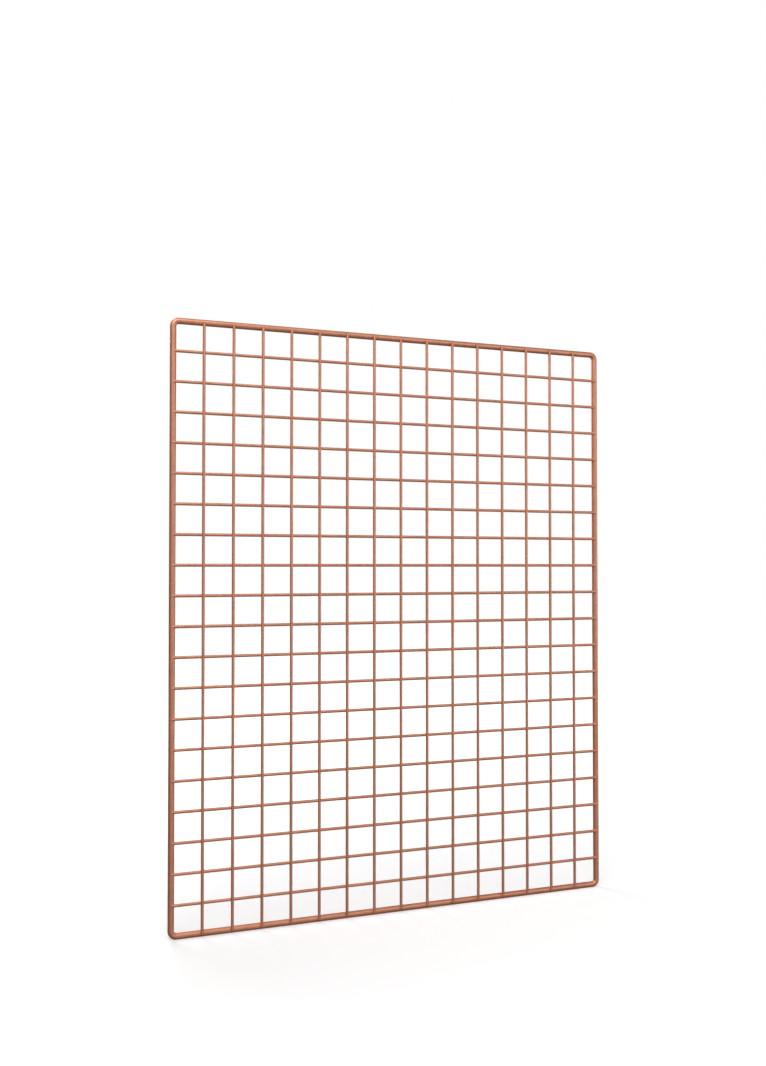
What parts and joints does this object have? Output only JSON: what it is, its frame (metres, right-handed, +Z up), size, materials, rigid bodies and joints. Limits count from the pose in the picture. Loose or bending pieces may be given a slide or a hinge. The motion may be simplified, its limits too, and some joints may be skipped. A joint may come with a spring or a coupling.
{
  "type": "wire grid tool panel",
  "caption": "Wall panel for tools: a bent round-rod frame with rounded corners, filled with welded vertical and horizontal wires in a square grid, in copper-coloured powder coat.",
  "frame": {"origin": "middle of the width and of the depth, on the level of the bottom rod's lowest line", "axes": "+Z up, +X to the right as seen from the room, -Y towards the room (the front, where the vertical wires lie), +Y towards the wall"},
  "size_m": [0.8104, 0.0134, 1.0104],
  "materials": {
    "copper_powder_coat": "satin copper-coloured powder coat over steel wire"
  },
  "bodies": {
    "root": {"frame_rod": "copper_powder_coat", "vertical_wire_01": "copper_powder_coat", "vertical_wire_02": "copper_powder_coat", "vertical_wire_03": "copper_powder_coat", "vertical_wire_04": "copper_powder_coat", "vertical_wire_05": "copper_powder_coat", "vertical_wire_06": "copper_powder_coat", "vertical_wire_07": "copper_powder_coat", "vertical_wire_08": "copper_powder_coat", "vertical_wire_09": "copper_powder_coat", "vertical_wire_10": "copper_powder_coat", "vertical_wire_11": "copper_powder_coat", "vertical_wire_12": "copper_powder_coat", "vertical_wire_13": "copper_powder_coat", "vertical_wire_14": "copper_powder_coat", "vertical_wire_15": "copper_powder_coat", "horizontal_wire_01": "copper_powder_coat", "horizontal_wire_02": "copper_powder_coat", "horizontal_wire_03": "copper_powder_coat", "horizontal_wire_04": "copper_powder_coat", "horizontal_wire_05": "copper_powder_coat", "horizontal_wire_06": "copper_powder_coat", "horizontal_wire_07": "copper_powder_coat", "horizontal_wire_08": "copper_powder_coat", "horizontal_wire_09": "copper_powder_coat", "horizontal_wire_10": "copper_powder_coat", "horizontal_wire_11": "copper_powder_coat", "horizontal_wire_12": "copper_powder_coat", "horizontal_wire_13": "copper_powder_coat", "horizontal_wire_14": "copper_powder_coat", "horizontal_wire_15": "copper_powder_coat", "horizontal_wire_16": "copper_powder_coat", "horizontal_wire_17": "copper_powder_coat", "horizontal_wire_18": "copper_powder_coat", "horizontal_wire_19": "copper_powder_coat"}
  },
  "joints": []
}
